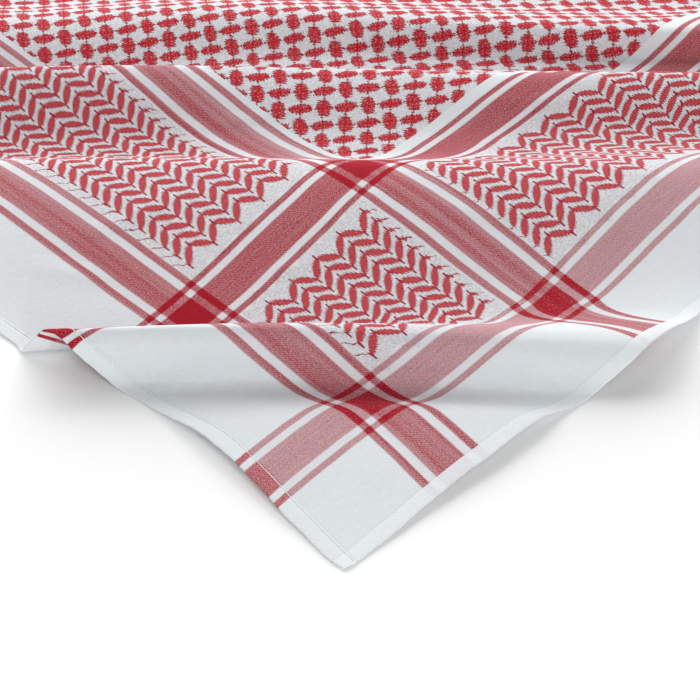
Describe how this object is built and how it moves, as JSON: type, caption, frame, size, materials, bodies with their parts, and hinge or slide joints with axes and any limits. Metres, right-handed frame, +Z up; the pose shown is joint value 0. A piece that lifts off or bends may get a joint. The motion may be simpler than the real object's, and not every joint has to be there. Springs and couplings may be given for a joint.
{
  "type": "keffiyeh headscarf",
  "caption": "Square woven cotton keffiyeh head cloth, red and white, laid flat in soft cross folds with one corner forward.",
  "frame": {"origin": "middle of the laid cloth's footprint, on the surface it lies on", "axes": "+X to the viewer's right along the folds, +Y away from the viewer from the front corner to the back corner, +Z up"},
  "size_m": [1.9855, 1.8048, 0.048],
  "materials": {
    "cloth": "matt woven cotton, red on white",
    "hem": "matt woven cotton, turned and stitched",
    "selvedge": "matt close-woven cotton"
  },
  "bodies": {
    "root": {"cloth_panel": "cloth", "hem_front_left": "hem", "hem_back_right": "hem", "selvedge_front_right": "selvedge", "selvedge_back_left": "selvedge"}
  },
  "joints": []
}
